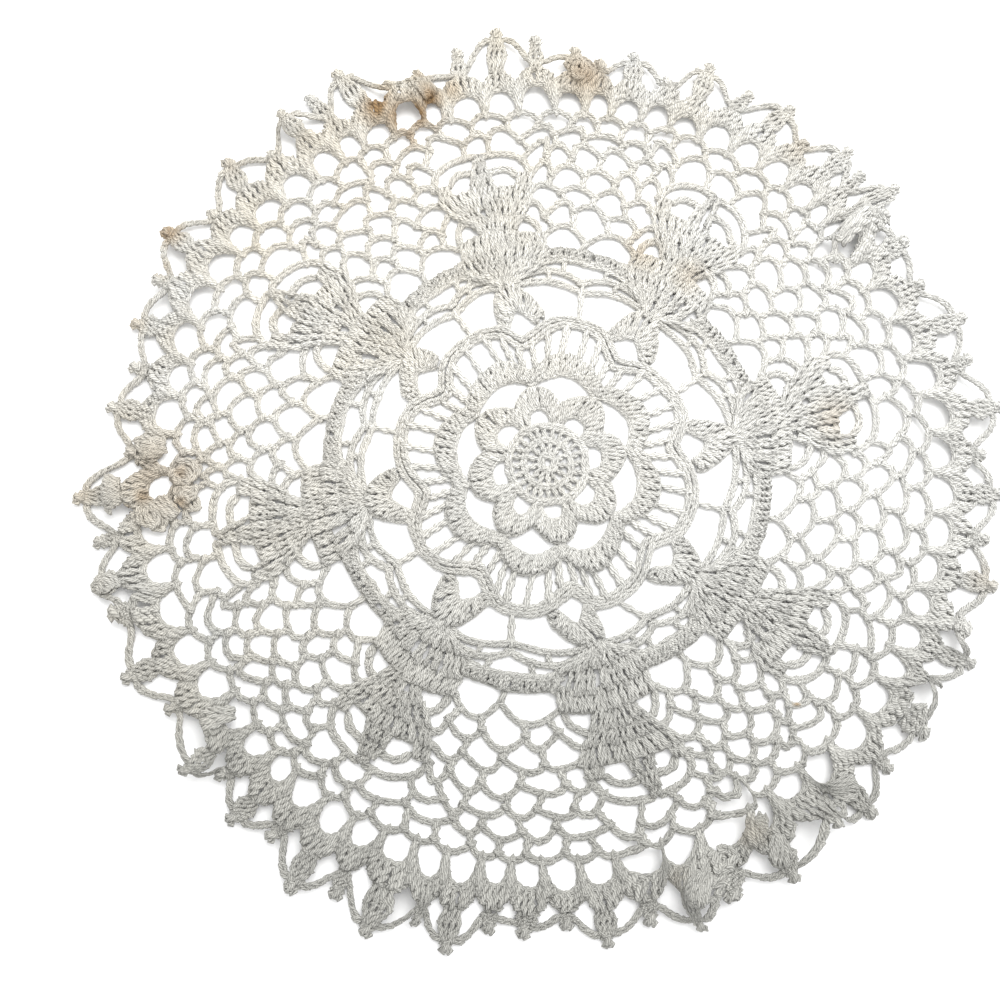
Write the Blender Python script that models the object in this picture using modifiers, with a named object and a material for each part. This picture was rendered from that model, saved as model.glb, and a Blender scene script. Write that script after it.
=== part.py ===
"""A round lace doily, crocheted in one piece from one white cotton thread.

It lies flat, 2 mm thick, with eight leaves of close stitches in an open net, a rosette in
the middle and a border of scallops with picots. The sheet is one flat outline with its gaps
cut through, lifted at the rim where the border ruffles and folds, and then given its
thickness. The gaps under 4 mm stay closed, and the net is cut at about one and a half times
the pitch of the real one. Millimetres and degrees are used until the points are placed.
Angles run anticlockwise from +X, as seen from above, and radii start at the middle.
"""
import math
import random

import bmesh
import bpy

MM = 0.001
NAME = "doily"
SHEET = 2.0  # the thickness of a worked chain
REPEATS = 8  # one leaf and one stretch of net in each
REPEAT = 360 / REPEATS
SEED = 7

# Where the work really lies. A hand-worked round is never even, so each half repeat (a leaf's
# axis, then the middle of the net after it) has its own angle in four of the rounds.
ROUND_RADII = (50, 62, 82, 106)
AXES = [
    # rosette, leaf foot, leaf fans, net
    (8.6, 8.3, 10.5, 12.8),
    (29.7, 31.0, 34.3, 35.2),
    (55.4, 56.0, 56.0, 57.7),
    (77.0, 79.0, 80.0, 80.0),
    (100.0, 104.0, 103.0, 102.8),
    (119.4, 122.0, 123.0, 125.5),
    (145.4, 144.2, 145.4, 148.5),
    (168.7, 168.5, 171.0, 171.0),
    (192.6, 192.6, 193.2, 193.5),
    (214.6, 214.5, 216.0, 215.5),
    (236.9, 235.4, 235.1, 237.0),
    (256.0, 257.0, 258.0, 261.0),
    (278.0, 283.0, 283.5, 286.0),
    (295.1, 300.0, 302.0, 304.5),
    (320.2, 320.2, 322.0, 323.9),
    (344.4, 344.4, 345.3, 348.0),
]

# The border, one row for every four scallops. Even scallops carry a tall cluster with a
# picot on its tip, and odd ones a short knob.
SCALLOPS = 68
ROW_STEP = 4
BORDER = [
    # angle, crown of the scallop, tip of the tall picot, top of the short knob
    (6.9, 140.0, 151.5, 146.0),
    (32.2, 137.5, 148.0, 143.5),
    (46.6, 143.0, 155.5, 150.0),
    (67.9, 141.0, 153.0, 147.0),
    (86.0, 139.5, 151.0, 147.0),
    (108.0, 140.5, 153.0, 149.0),
    (126.3, 140.5, 151.5, 147.0),
    (149.2, 138.0, 149.5, 143.5),
    (173.4, 133.0, 144.5, 139.0),
    (196.0, 141.0, 152.0, 147.0),
    (219.4, 138.0, 149.5, 144.0),
    (238.2, 141.5, 155.0, 150.0),
    (256.6, 140.5, 153.0, 147.0),
    (275.0, 139.0, 150.5, 146.0),
    (298.8, 138.0, 149.5, 143.5),
    (322.5, 136.5, 147.5, 142.5),
    (343.5, 139.0, 150.5, 145.0),
]
CROWN = 139.0  # the crown radius that the rounds below are drawn for
NET_FROM = 96.0  # outside this the net stretches or shrinks with the border

# The gaps of the rosette and the leaves. Offsets are counted from the leaf's axis, and a
# negative half width mirrors the form.
GAPS = [
    # name, radius, offsets, half width, half height, form
    ("heart", 16.4, (0.0,), 2.2, 2.1, "hexagon"),
    ("eye", 25.1, (22.5,), 8.2, 4.1, "lens"),
    ("ladder_side", 38.6, (9.0, 36.0), 3.0, 2.6, "hexagon"),
    ("ladder_crown", 43.4, (22.5,), 4.4, 2.7, "hexagon"),
    ("diamond", 46.4, (0.0,), 4.3, 4.8, "diamond"),
    ("window_after", 54.9, (12.3,), 8.4, 4.8, "window"),
    ("window_before", 54.9, (32.7,), -8.4, 4.8, "window"),
    ("waist", 84.2, (-7.6, 7.6), 3.3, 2.4, "hexagon"),
]

# The net between two leaves, one row for each cut round, with the offsets counted from the
# middle of the net.
NET_ROWS = [
    # radius, gaps in a repeat, pitch in degrees
    (81.6, 2, 8.2),
    (92.5, 3, 8.2),
    (103.8, 4, 10.0),
    (115.0, 5, 9.0),
    (126.0, 5, 9.0),
]
NET_STEP = 11.2  # from one cut round to the next
BAR = 2.7  # width of the worked bars that the cuts leave

# Folds that stand up from the table: where, how wide and how high.
FLAT_TO = 108.0  # inside this the work lies flat
RUFFLE = 2.0  # how high the longer waves of the border's edge rise
FOLDS = [
    # angle, radius, half angle, half depth, height
    (36.5, 134.0, 4.0, 26.0, 6.5),
    (112.0, 136.0, 7.0, 16.0, 4.5),
    (126.0, 146.0, 4.0, 14.0, 4.0),
    (184.5, 132.0, 7.0, 17.0, 7.0),
    (200.0, 142.0, 4.0, 14.0, 4.5),
    (219.0, 142.0, 5.0, 14.0, 4.0),
    (250.0, 142.0, 5.0, 14.0, 5.0),
    (288.5, 139.0, 5.0, 16.0, 7.0),
    (304.0, 142.0, 5.0, 14.0, 5.0),
    (325.0, 138.0, 6.0, 14.0, 5.0),
    (337.0, 142.0, 4.0, 12.0, 4.0),
]

FORMS = {
    "hexagon": [(1, -0.5), (1, 0.5), (0, 1), (-1, 0.5), (-1, -0.5), (0, -1)],
    "diamond": [(1, 0), (0.35, 0.62), (0, 1), (-0.35, 0.62), (-1, 0), (0, -1)],
    "oval": [
        (math.cos(math.radians(a)), math.sin(math.radians(a))) for a in range(0, 360, 45)
    ],
    "lens": [
        (1, 0),
        (0.62, 0.62),
        (0.2, 1),
        (-0.2, 1),
        (-0.62, 0.62),
        (-1, 0),
        (-0.5, -0.72),
        (0, -1),
        (0.5, -0.72),
    ],
    "window": [(-1, 1), (-0.4, -0.8), (0, -1), (1, -1), (1, 0.6), (0.1, 0.9)],
}


def soft_step(share):
    share = min(1.0, max(0.0, share))
    return share * share * (3 - 2 * share)


def mixed(low, high, share):
    return low + (high - low) * share


def real_angle(pattern_angle, radius):
    """The angle at which a point of the even pattern lies; 0 is the first leaf's axis."""
    half = REPEAT / 2
    row, share = divmod(pattern_angle / half, 1)
    at = []
    for number in (int(row), int(row) + 1):
        turns, index = divmod(number, len(AXES))
        at.append([angle + 360 * turns for angle in AXES[index]])
    across = [mixed(a, b, share) for a, b in zip(*at)]
    if radius <= ROUND_RADII[0]:
        return across[0]
    for k in range(1, len(ROUND_RADII)):
        low, high = ROUND_RADII[k - 1], ROUND_RADII[k]
        if radius <= high:
            return mixed(across[k - 1], across[k], (radius - low) / (high - low))
    return across[-1]


def border_at(scallop):
    """Angle, crown, tall tip and short tip of the border at a scallop's number."""
    turns, place = divmod(scallop, SCALLOPS)
    row, share = divmod(place / ROW_STEP, 1)
    low, high = BORDER[int(row)], BORDER[(int(row) + 1) % len(BORDER)]
    wrap = 360 if int(row) + 1 == len(BORDER) else 0
    angle = mixed(low[0], high[0] + wrap, share) + 360 * turns
    return (angle, *(mixed(a, b, share) for a, b in zip(low[1:], high[1:])))


def crown_at(angle):
    """The radius of the scallops' crowns in a direction."""
    angle = (angle - BORDER[0][0]) % 360 + BORDER[0][0]
    rows = BORDER + [(BORDER[0][0] + 360, *BORDER[0][1:])]
    for low, high in zip(rows, rows[1:]):
        if angle <= high[0]:
            return mixed(low[1], high[1], (angle - low[0]) / (high[0] - low[0]))
    return BORDER[0][1]


def polar(angle, radius):
    return (radius * math.cos(math.radians(angle)), radius * math.sin(math.radians(angle)))


def placed(pattern_angle, radius):
    """A point of the even pattern, where it really lies."""
    angle = real_angle(pattern_angle, radius)
    share = soft_step((radius - NET_FROM) / (CROWN - NET_FROM))
    return polar(angle, radius * mixed(1.0, crown_at(angle) / CROWN, share))


def gap(pattern_angle, radius, half_width, half_height, form, chance):
    """The corners of one gap, a little uneven as hand work is."""
    half_width *= chance.uniform(0.93, 1.03)
    half_height *= chance.uniform(0.92, 1.03)
    turn = chance.uniform(-0.10, 0.10)
    corners = []
    for across, up in FORMS[form]:
        r = radius + up * half_height + turn * across * half_width
        angle = pattern_angle + math.degrees(across * half_width / radius)
        corners.append(placed(angle, r))
    return corners


def rosette_and_leaf_gaps(chance):
    gaps = []
    for repeat in range(REPEATS):
        for _name, radius, offsets, half_width, half_height, form in GAPS:
            for offset in offsets:
                angle = REPEAT * repeat + offset
                gaps.append(gap(angle, radius, half_width, half_height, form, chance))
    return gaps


def net_gaps(chance):
    """Rows of pointed gaps, each row half a pitch on from the one inside it."""
    gaps = []
    for repeat in range(REPEATS):
        middle = REPEAT * (repeat + 0.5)
        for number, (radius, count, pitch) in enumerate(NET_ROWS):
            last = number == len(NET_ROWS) - 1
            first = pitch / 2 if last else -pitch * (count - 1) / 2
            half_width = math.radians(pitch) * radius / 2 - BAR / 2
            half_height = NET_STEP * (0.55 if last else 0.62) - BAR / 2
            for k in range(count):
                angle = middle + first + pitch * (k - 2 if last else k)
                gaps.append(gap(angle, radius, half_width, half_height, "hexagon", chance))
    return gaps


def border_leans():
    """How far each tall tip leans sideways, in shares of a scallop."""
    chance = random.Random(SEED + 1)
    return [chance.uniform(-0.22, 0.22) for _ in range(SCALLOPS // 2)]


def border_point(scallop, radius, leans):
    """A point of the border at a scallop's number, leaning with its cluster."""
    _angle, crown, tall, _short = border_at(scallop)
    lean = leans[round(scallop / 2) % len(leans)]
    near = max(0.0, 1 - abs(scallop - 2 * round(scallop / 2)))
    height = max(0.0, (radius - crown) / (tall - crown))
    angle = border_at(scallop + lean * near * height)[0]
    return polar(angle, radius)


# One side of a tall cluster, from its tip to the knob on the next scallop: the share of a
# scallop, and the height over the crown as a share of the tall tip's or the knob's.
EDGE = [
    # share, of the tall tip, of the knob
    (0.07, 1.00, 0.00),
    (0.13, 0.76, 0.00),
    (0.36, 0.74, 0.00),
    (0.66, 0.36, 0.00),
    (0.84, 0.00, 0.42),
    (0.93, 0.00, 1.00),
]
OPENING = [
    # share, of the tall tip, of the knob
    (0.22, 0.06, 0.00),
    (0.50, -0.40, 0.00),
    (0.76, 0.00, 0.02),
    (0.52, 0.30, 0.00),
    (0.24, 0.52, 0.00),
]


def border_side(scallop, side, shape, leans):
    points = []
    for share, of_tall, of_short in shape:
        place = scallop + side * share
        _angle, crown, tall, short = border_at(place)
        radius = crown + of_tall * (tall - crown) + of_short * (short - crown)
        points.append(border_point(place, radius, leans))
    return points


def outline(leans):
    """The edge of the whole work, cluster by cluster."""
    points = []
    for scallop in range(0, SCALLOPS, 2):
        points += border_side(scallop, -1, EDGE, leans)[::-1]
        points += border_side(scallop, 1, EDGE, leans)
    return points


def border_gaps(leans):
    """The opening on each side of every tall cluster, under the chain to the next knob."""
    return [
        border_side(scallop, side, OPENING, leans)
        for scallop in range(0, SCALLOPS, 2)
        for side in (-1, 1)
    ]


def lift(x, y):
    """How far the work stands off the table, which it touches between the waves."""
    radius = math.hypot(x, y)
    angle = math.degrees(math.atan2(y, x))
    out = soft_step((radius - FLAT_TO) / (CROWN - FLAT_TO))
    long_wave = math.sin(math.radians(5 * angle + 40))
    short_wave = math.sin(math.radians(17 * angle))
    height = RUFFLE * out * max(0.0, long_wave + 0.5 * short_wave)
    for fold_angle, fold_radius, half_angle, half_depth, fold_height in FOLDS:
        aside = (angle - fold_angle + 180) % 360 - 180
        away = math.hypot(aside / half_angle, (radius - fold_radius) / half_depth)
        height += fold_height * soft_step(1 - away)
    return height


def flat_sheet(rings):
    """A filled flat curve of the outline and its gaps, as a mesh."""
    curve = bpy.data.curves.new(NAME, "CURVE")
    curve.dimensions = "2D"
    curve.fill_mode = "BOTH"
    for ring in rings:
        spline = curve.splines.new("POLY")
        spline.points.add(len(ring) - 1)
        spline.use_cyclic_u = True
        for point, (x, y) in zip(spline.points, ring):
            point.co = (x * MM, y * MM, 0.0, 1.0)
    drawn = bpy.data.objects.new(NAME + "_outline", curve)
    bpy.context.scene.collection.objects.link(drawn)
    evaluated = drawn.evaluated_get(bpy.context.evaluated_depsgraph_get())
    mesh = bpy.data.meshes.new_from_object(evaluated)
    bpy.data.objects.remove(drawn)
    bpy.data.curves.remove(curve)
    return mesh


def lay(mesh):
    """Welds the filled curve, evens its triangles, and lifts its rim."""
    bm = bmesh.new()
    bm.from_mesh(mesh)
    bmesh.ops.remove_doubles(bm, verts=bm.verts, dist=0.00001)
    bmesh.ops.triangulate(bm, faces=bm.faces)
    bmesh.ops.beautify_fill(bm, faces=bm.faces, edges=bm.edges)
    bmesh.ops.recalc_face_normals(bm, faces=bm.faces)
    if sum(face.normal.z for face in bm.faces) < 0:
        bmesh.ops.reverse_faces(bm, faces=bm.faces)
    for vert in bm.verts:
        vert.co.z = lift(vert.co.x / MM, vert.co.y / MM) * MM
    bm.to_mesh(mesh)
    bm.free()


def cotton():
    material = bpy.data.materials.new("cotton_thread")
    material.use_nodes = True
    shader = material.node_tree.nodes["Principled BSDF"]
    shader.inputs["Base Color"].default_value = (0.74, 0.72, 0.66, 1.0)
    shader.inputs["Roughness"].default_value = 0.92
    shader.inputs["Metallic"].default_value = 0.0
    return material


def make_doily(collection):
    chance = random.Random(SEED)
    leans = border_leans()
    gaps = rosette_and_leaf_gaps(chance) + net_gaps(chance) + border_gaps(leans)
    mesh = flat_sheet([outline(leans), *gaps])
    lay(mesh)
    doily = bpy.data.objects.new(NAME, mesh)
    doily.data.name = NAME
    collection.objects.link(doily)
    doily.data.materials.clear()
    doily.data.materials.append(cotton())
    thick = doily.modifiers.new("thickness", "SOLIDIFY")
    thick.thickness = SHEET * MM
    thick.offset = 1.0
    thick.use_even_offset = True
    return doily


for old in list(bpy.data.objects):
    bpy.data.objects.remove(old)
lace_doily = bpy.data.collections.new("lace_doily")
bpy.context.scene.collection.children.link(lace_doily)
make_doily(lace_doily)
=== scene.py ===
"""The looks of a round lace doily, crocheted in one piece from white cotton thread.

Every stitch is laid as its own loop of thread, round by round from the middle outwards, in
the same uneven rounds as the solid that the lace stands for. The work is charted in
millimetres and degrees: radii from the middle, angles anticlockwise from +X seen from above.
"""

import math
import random

import bpy
import numpy as np
from mathutils import Matrix, Vector, noise


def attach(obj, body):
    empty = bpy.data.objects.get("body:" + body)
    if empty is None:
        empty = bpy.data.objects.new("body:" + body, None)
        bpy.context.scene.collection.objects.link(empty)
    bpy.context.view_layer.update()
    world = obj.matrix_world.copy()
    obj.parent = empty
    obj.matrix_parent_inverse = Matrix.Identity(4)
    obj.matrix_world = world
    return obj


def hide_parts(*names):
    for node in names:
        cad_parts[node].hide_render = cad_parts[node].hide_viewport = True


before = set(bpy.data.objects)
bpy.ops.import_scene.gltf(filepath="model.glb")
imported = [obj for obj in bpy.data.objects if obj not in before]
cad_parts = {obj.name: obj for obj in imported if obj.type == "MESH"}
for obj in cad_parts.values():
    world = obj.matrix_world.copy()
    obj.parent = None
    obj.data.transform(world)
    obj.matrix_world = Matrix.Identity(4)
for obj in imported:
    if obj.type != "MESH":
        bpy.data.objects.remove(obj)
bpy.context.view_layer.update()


# The rosette in the middle: a ring, eight shells, eight arches over them, and a ladder of
# open stitches, crocheted from one hard-twisted cotton thread. It is the first of the work,
# so this section also holds how the rounds lie, the thread, its stitches and the cotton.

MM = 0.001
REPEATS = 8  # one leaf, and the net after it, in each
REPEAT = 360 / REPEATS
HALF = REPEAT / 2
THREAD = 1.0  # thickness of the thread
SEED = 21
chance = random.Random(SEED)
noise.seed_set(SEED)

# Where the rounds really lie: each half repeat (a leaf's axis, then the middle of the net
# after it) has its own angle at four radii, and its own reach in the rounds between the
# rosette and the outer net, because hand work is never even.
ROUND_RADII = (50, 62, 82, 106)
REACH_RADII = (50, 60, 84, 127)
AXES = [
    # angle in the rosette, at the leaf's foot, in the fans, in the net; reach
    (8.6, 8.3, 10.5, 12.8, 0.965),
    (29.7, 31.0, 34.3, 35.2, 0.945),
    (55.4, 56.0, 56.0, 57.7, 0.960),
    (77.0, 79.0, 80.0, 80.0, 0.965),
    (100.0, 104.0, 103.0, 102.8, 0.980),
    (119.4, 122.0, 123.0, 125.5, 0.970),
    (145.4, 144.2, 145.4, 148.5, 0.955),
    (168.7, 168.5, 171.0, 171.0, 0.975),
    (192.6, 192.6, 193.2, 193.5, 0.985),
    (214.6, 214.5, 216.0, 215.5, 1.000),
    (236.9, 235.4, 235.1, 237.0, 1.010),
    (256.0, 257.0, 258.0, 261.0, 0.990),
    (278.0, 283.0, 283.5, 286.0, 0.975),
    (295.1, 300.0, 302.0, 304.5, 0.965),
    (320.2, 320.2, 322.0, 323.9, 0.950),
    (344.4, 344.4, 345.3, 348.0, 0.950),
]
BORDER = [
    # every fourth scallop: angle, radius of its crown
    (6.9, 140.0),
    (32.2, 137.5),
    (46.6, 143.0),
    (67.9, 141.0),
    (86.0, 139.5),
    (108.0, 140.5),
    (126.3, 140.5),
    (149.2, 138.0),
    (173.4, 133.0),
    (196.0, 141.0),
    (219.4, 138.0),
    (238.2, 141.5),
    (256.6, 140.5),
    (275.0, 139.0),
    (298.8, 138.0),
    (322.5, 136.5),
    (343.5, 139.0),
]
CROWN = 139.0  # the crown radius that the rounds inside the border are charted for
NET_FROM = 96.0  # outside this the net stretches or shrinks with the border
PULLED = (-1.7, -1.0)  # how far the rosette is pulled off the middle
PULLED_TO = 66  # nothing is pulled outside this
PULL_FADES = 18  # the depth inside that over which the pull dies out
STRAYS = [
    # size of the waves that draw a point out of place, their layer in the noise, their reach
    (21, 3.0, 1.3),
    (7.5, 9.0, 0.8),
]
FLAT_TO = 108.0  # inside this the work lies flat on the table
RUFFLE = 2.0  # how high the longer waves of the border's edge rise
LONG_WAVES, LONG_WAVE_PHASE = 5, 40  # how many go round, and how far on they are at angle 0
SHORT_WAVES, SHORT_WAVE = 17, 0.5  # how many go round, and their height beside the long ones
FOLDS = [
    # angle, radius, half angle, half depth, height, how far the crest leans aside
    (36.5, 134.0, 4.0, 26.0, 6.5, 5.0),
    (112.0, 136.0, 7.0, 16.0, 4.5, -3.0),
    (126.0, 146.0, 4.0, 14.0, 4.0, 3.0),
    (184.4, 137.0, 4.5, 9.0, 4.0, 0.0),
    (200.0, 142.0, 4.0, 14.0, 4.5, -4.0),
    (219.0, 142.0, 5.0, 14.0, 4.0, 5.0),
    (250.0, 142.0, 5.0, 14.0, 5.0, 3.0),
    (281.5, 126.0, 3.5, 12.0, 3.5, 3.5),
    (288.5, 139.0, 5.0, 16.0, 7.0, -6.0),
    (296.0, 122.0, 4.5, 13.0, 4.0, 4.5),
    (304.0, 142.0, 5.0, 14.0, 5.0, 5.0),
    (311.0, 128.0, 4.0, 11.0, 4.0, -4.5),
    (325.0, 138.0, 6.0, 14.0, 5.0, 5.0),
    (337.0, 142.0, 4.0, 12.0, 4.0, -4.0),
]


def soft_step(share):
    share = np.clip(share, 0.0, 1.0)
    return share * share * (3 - 2 * share)


def mixed(low, high, share):
    return low + (high - low) * share


def real_place(pattern_angle, radius):
    """Where a point of the even pattern lies; pattern angle 0 is the first leaf's axis."""
    row, share = divmod(pattern_angle / HALF, 1)
    at = []
    for number in (int(row), int(row) + 1):
        turns, index = divmod(number, len(AXES))
        at.append([angle + 360 * turns for angle in AXES[index][:4]])
    across = [mixed(a, b, share) for a, b in zip(*at)]
    reach = mixed(*(AXES[(int(row) + k) % len(AXES)][4] for k in (0, 1)), share)
    stretch = np.interp(radius, REACH_RADII, (1.0, reach, reach, 1.0))
    return float(np.interp(radius, ROUND_RADII, across)), float(radius * stretch)


def crown_at(angle):
    """The radius of the scallops' crowns in a direction."""
    angles = [row[0] for row in BORDER] + [BORDER[0][0] + 360]
    crowns = [row[1] for row in BORDER] + [BORDER[0][1]]
    return float(np.interp((angle - angles[0]) % 360 + angles[0], angles, crowns))


def strayed(angle, radius):
    """A point at an angle and radius, drawn a little out of place as stitches pull."""
    x = radius * math.cos(math.radians(angle))
    y = radius * math.sin(math.radians(angle))
    point = [x, y]
    for size, layer, reach in STRAYS:
        aside = noise.noise_vector(Vector((x / size, y / size, layer)))
        point = [point[0] + reach * aside.x, point[1] + reach * aside.y]
    return np.array(point)


def placed(pattern_angle, radius):
    """A point of the even pattern, where it really lies."""
    angle, reach = real_place(pattern_angle, radius)
    share = float(soft_step((radius - NET_FROM) / (CROWN - NET_FROM)))
    pull = np.array(PULLED) * float(soft_step((PULLED_TO - radius) / PULL_FADES))
    return strayed(angle, reach * mixed(1.0, crown_at(angle) / CROWN, share)) + pull


def mirrored(points):
    """A path charted from an axis outwards, on both sides of the axis."""
    return [(-offset, radius) for offset, radius in points[::-1]] + list(points)


def charted(repeat, points, axis=0.0, side=1):
    """A charted path, offsets from the axis and radii, where it lies in one repeat."""
    return [placed(REPEAT * repeat + axis + side * offset, radius) for offset, radius in points]


def draped(points):
    """The flat work as it lies: it touches the table between its waves, and its folds lean."""
    x, y = points[:, 0], points[:, 1]
    radius, angle = np.hypot(x, y), np.degrees(np.arctan2(y, x))
    out = soft_step((radius - FLAT_TO) / (CROWN - FLAT_TO))
    long_wave = np.sin(np.radians(LONG_WAVES * angle + LONG_WAVE_PHASE))
    short_wave = np.sin(np.radians(SHORT_WAVES * angle))
    height = RUFFLE * out * np.maximum(0.0, long_wave + SHORT_WAVE * short_wave)
    turned = np.radians(angle)
    for fold_angle, fold_radius, half_angle, half_depth, fold_height, lean in FOLDS:
        aside = (angle - fold_angle + 180) % 360 - 180
        near = soft_step(1 - np.hypot(aside / half_angle, (radius - fold_radius) / half_depth))
        height = height + fold_height * near
        turned = turned + lean * near / radius
    x, y = radius * np.cos(turned), radius * np.sin(turned)
    return np.stack([x, y, points[:, 2] + height], axis=1)


PLY_STEP = 0.9  # along the thread from one ply to the next


def loop_of_thread(name, centreline, thickness):
    """One closed loop of thread through the points, as its corners, faces and thread map."""
    curve = bpy.data.curves.new(name, "CURVE")
    curve.dimensions = "3D"
    spline = curve.splines.new("POLY")
    spline.points.add(len(centreline) - 1)
    for point, place in zip(spline.points, centreline):
        point.co = (*place, 1.0)
    spline.use_cyclic_u = True
    curve.bevel_depth = thickness / 2
    curve.bevel_resolution = 1
    loop = bpy.data.objects.new(name, curve)
    bpy.context.scene.collection.objects.link(loop)
    bpy.ops.object.select_all(action="DESELECT")
    loop.select_set(True)
    bpy.context.view_layer.objects.active = loop
    bpy.ops.object.convert(target="MESH")
    mesh = loop.data
    corners = np.array([vert.co for vert in mesh.vertices])
    faces = np.array([face.vertices[:] for face in mesh.polygons])
    thread_map = np.array([corner.uv for corner in mesh.uv_layers[0].data])
    steps = np.roll(np.array(centreline), -1, axis=0) - np.array(centreline)
    thread_map[:, 0] *= round(np.linalg.norm(steps, axis=1).sum() / PLY_STEP)
    bpy.data.objects.remove(loop)
    bpy.data.meshes.remove(mesh)
    return corners, faces, thread_map


def teardrop(length, half_width, low, high):
    """A loop drawn through the last one: a narrow low tail, a round high head."""
    half = [
        # share of the length, share of the width, share of the rise
        (0.20, 0.62, 0.15),
        (0.52, 1.00, 0.50),
        (0.84, 0.74, 0.92),
    ]
    out = [(share * length, wide * half_width, mixed(low, high, up)) for share, wide, up in half]
    back = [(x, -y, z) for x, y, z in out[::-1]]
    return [(0.0, 0.0, low), *out, (length, 0.0, high), *back]


def twisted_pair(length, reach, turns, middle, steps):
    """Two strands wound round each other, closed at both ends."""
    strands = []
    for side in (0, 1):
        shares = np.linspace(0, 1, steps)
        for share in shares if side == 0 else shares[::-1]:
            turn = 2 * math.pi * turns * share + math.pi * side
            across, up = reach * math.cos(turn), middle + reach * math.sin(turn)
            strands.append((share * length, across, up))
    return strands


CHAIN_PITCH = 2.4  # from one chain stitch to the next
CHAIN_LENGTH = 1.55  # of one stitch in pitches, because each runs into the next
CHAIN_HALF_WIDTH = 0.64
CHAIN_RISE = (0.70, 1.25)  # height of its tail and of its head
CHAIN_THREAD = 1.45  # a stitch's thread in thicknesses, because it is drawn loose and full
POST = 6.0  # the length that a post is drawn at
TWISTED = [
    # stitch, length, reach from its middle line, turns, height of that line, points, thickness
    ("post", POST, 0.50, 1.3, 1.05, 6, 1.22),
    ("slack", POST, 0.50, 0.8, 1.05, 5, 1.25),
    ("short", 2.2, 0.55, 0.5, 1.15, 4, 1.30),
    ("turn", 3.4, 0.56, 0.65, 1.05, 3, 1.30),
]
STITCHES = {}


def learn(kind, unit, centreline, thickness):
    """Keeps one stitch's loop of thread, its length counted in units."""
    corners, faces, thread_map = loop_of_thread(kind, centreline, thickness)
    corners[:, 0] /= unit
    STITCHES[kind] = (corners, faces, thread_map)


tear = teardrop(CHAIN_PITCH * CHAIN_LENGTH, CHAIN_HALF_WIDTH, *CHAIN_RISE)
learn("chain", CHAIN_PITCH, tear, THREAD * CHAIN_THREAD)
for kind, length, reach, turns, middle, steps, full in TWISTED:
    learn(kind, length, twisted_pair(length, reach, turns, middle, steps), THREAD * full)


def rounded(points, passes=2):
    """A path with its corners cut soft, a quarter off each side, and its ends kept."""
    path = np.array(points, float)
    for _ in range(passes):
        near = path[:-1] * 0.75 + path[1:] * 0.25
        far = path[:-1] * 0.25 + path[1:] * 0.75
        between = np.stack([near, far], axis=1).reshape(-1, 2)
        path = np.vstack([path[:1], between, path[-1:]])
    return path


def along(path, shares):
    """Points of a path at shares of its length."""
    steps = np.hypot(*np.diff(path, axis=0).T)
    gone = np.concatenate([[0], np.cumsum(steps)]) / steps.sum()
    return np.stack([np.interp(shares, gone, path[:, k]) for k in (0, 1)], axis=1)


SHORTEST = 0.3  # a stitch shorter than this is left out
UNEVEN_WIDTH = (0.90, 1.10)  # the small unevenness of a hand
UNEVEN_HEIGHT = 0.15
UNEVEN_ROLL = 0.30  # radians
laid = []  # both ends of every stitch so far, which later stitches hang on


def stitch(work, kind, start, end, width=1.0, up=0.0, lift=0.0):
    """Notes one stitch of a piece of work; lift is how much higher its end lies."""
    if math.dist(start, end) < SHORTEST:
        return
    laid.extend((tuple(start), tuple(end)))
    width *= chance.uniform(*UNEVEN_WIDTH)
    up += chance.uniform(0.0, UNEVEN_HEIGHT)
    roll = chance.uniform(-UNEVEN_ROLL, UNEVEN_ROLL)
    tone = chance.random()
    work.append((kind, *start, *end, width, up, roll, tone, lift))


def chain(work, points, up=0.0, width=1.0, pitch=CHAIN_PITCH, passes=2):
    """Chain stitches along a path."""
    path = rounded(points, passes)
    length = np.hypot(*np.diff(path, axis=0).T).sum()
    count = max(1, round(length / pitch))
    ends = along(path, np.linspace(0, 1, count + 1))
    for start, end in zip(ends[:-1], ends[1:]):
        stitch(work, "chain", start, end, width, up)


HEAD_ASIDE = 0.3  # how far a head strays from its foot, in stitches
FOOT_PAST = (0.0, 1.2)  # how far past its path an end runs, times ragged and its length
HEAD_PAST = (-0.3, 0.8)
SLACK = 0.4  # share of slack stitches
ABOVE = 0.25  # how much higher than its row a stitch may lie
HEAD_LIFT = 0.9  # how much higher than its foot a stitch's head lies, on the next row's feet
LOOSE = 0.2  # rows at least this ragged are worked loosely, and some stitches are missing
MISSED = 0.06  # share of them
BEND_AT = (0.42, 0.58)  # where a loose stitch bends, in shares of its length
BEND_ASIDE = 0.35  # how far, in a stitch as long as POST
BEND_OVERLAP = 0.12  # share of the other turn that each runs on over


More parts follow.
